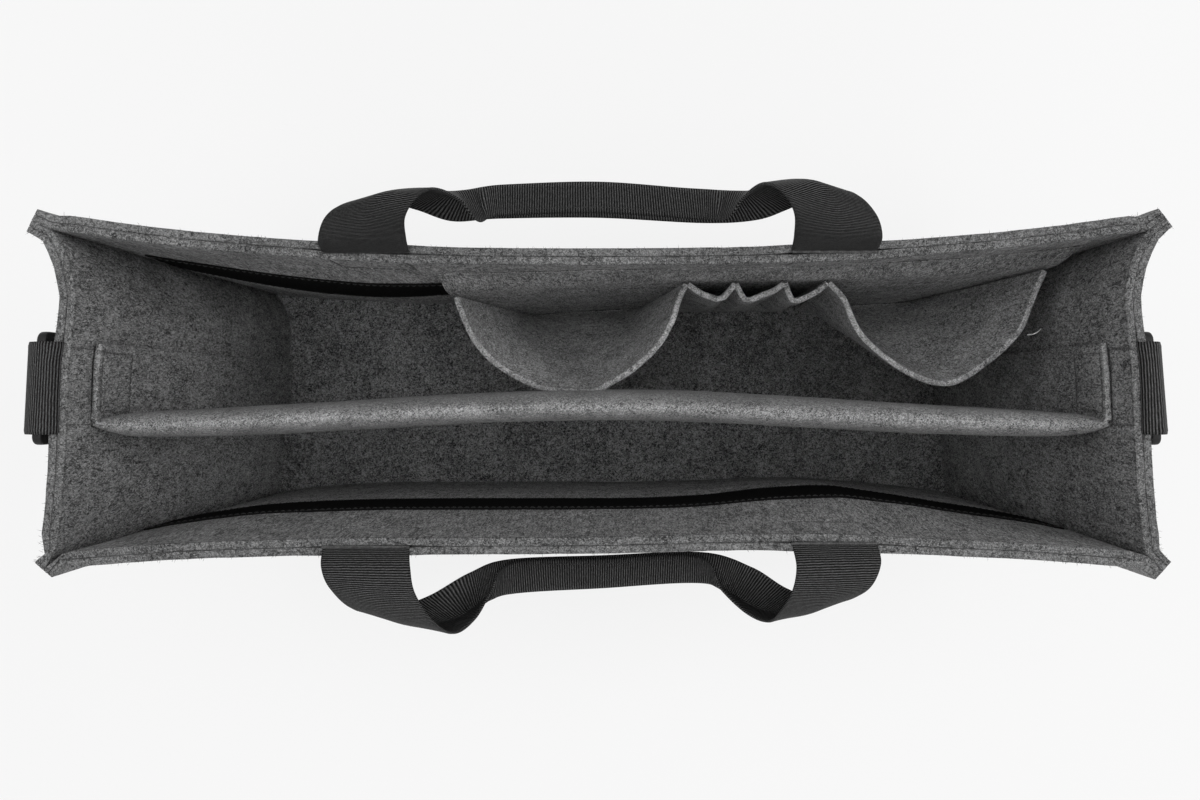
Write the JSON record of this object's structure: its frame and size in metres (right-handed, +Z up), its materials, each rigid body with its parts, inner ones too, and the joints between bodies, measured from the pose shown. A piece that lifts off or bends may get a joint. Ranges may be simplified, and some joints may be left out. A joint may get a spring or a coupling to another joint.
{
  "type": "knitting bag",
  "caption": "Open felt tote for knitting work, with webbing handles, side rings, a lift-out padded divider and an inner pocket organiser for tools.",
  "frame": {"origin": "on the floor, under the middle of the base's underside", "axes": "+X along the long walls, +Y towards the wall that carries the organiser, +Z up"},
  "size_m": [0.5249, 0.2048, 0.3497],
  "materials": {
    "felt_outer": "charcoal melange felt, matt",
    "felt_inner": "charcoal melange felt, matt",
    "webbing": "black ribbed webbing, slight sheen",
    "tape": "black hook-and-loop tape, matt",
    "board": "plain stiffening board",
    "ring_plastic": "black moulded plastic, satin"
  },
  "bodies": {
    "bag": {"front_outer_panel": "felt_outer", "front_inner_panel": "felt_inner", "back_outer_panel": "felt_outer", "back_inner_panel": "felt_inner", "left_outer_gusset": "felt_outer", "left_inner_gusset": "felt_inner", "right_outer_gusset": "felt_outer", "right_inner_gusset": "felt_inner", "base_outer_panel": "felt_outer", "base_board": "board", "base_inner_panel": "felt_inner", "front_loop_tape": "tape", "back_loop_tape": "tape", "organiser_hook_strip": "tape", "organiser_backing": "felt_inner", "left_pocket": "felt_inner", "right_pocket": "felt_inner", "tool_slot_1": "felt_inner", "tool_slot_2": "felt_inner", "tool_slot_3": "felt_inner", "front_left_strap_anchor": "webbing", "front_right_strap_anchor": "webbing", "back_left_strap_anchor": "webbing", "back_right_strap_anchor": "webbing", "left_ring_loop": "webbing", "right_ring_loop": "webbing"},
    "front_handle": {"front_handle": "webbing"},
    "back_handle": {"back_handle": "webbing"},
    "left_ring": {"left_ring": "ring_plastic"},
    "right_ring": {"right_ring": "ring_plastic"},
    "divider": {"divider_cover": "felt_inner", "divider_core": "board", "divider_left_flap": "felt_inner", "divider_right_flap": "felt_inner", "divider_left_hook_patch": "tape", "divider_right_hook_patch": "tape"}
  },
  "joints": [
    {"name": "front_handle_swing", "type": "hinge", "parent": "bag", "child": "front_handle", "pos_m": [0, -0.0716, 0.301], "axis": [-1, 0, 0], "range_deg": [0, 80]},
    {"name": "back_handle_swing", "type": "hinge", "parent": "bag", "child": "back_handle", "pos_m": [0, 0.0615, 0.301], "axis": [1, 0, 0], "range_deg": [-30, 90]},
    {"name": "left_ring_swing", "type": "hinge", "parent": "bag", "child": "left_ring", "pos_m": [-0.2589, 0, 0.291], "axis": [0.0529, 0.9986, 0], "range_deg": [-10, 165]},
    {"name": "right_ring_swing", "type": "hinge", "parent": "bag", "child": "right_ring", "pos_m": [0.2546, 0, 0.291], "axis": [0.0797, -0.9968, 0], "range_deg": [-4, 165]},
    {"name": "divider_lift", "type": "slide", "parent": "bag", "child": "divider", "axis": [0, 0, 1], "range_m": [0, 0.3]}
  ]
}
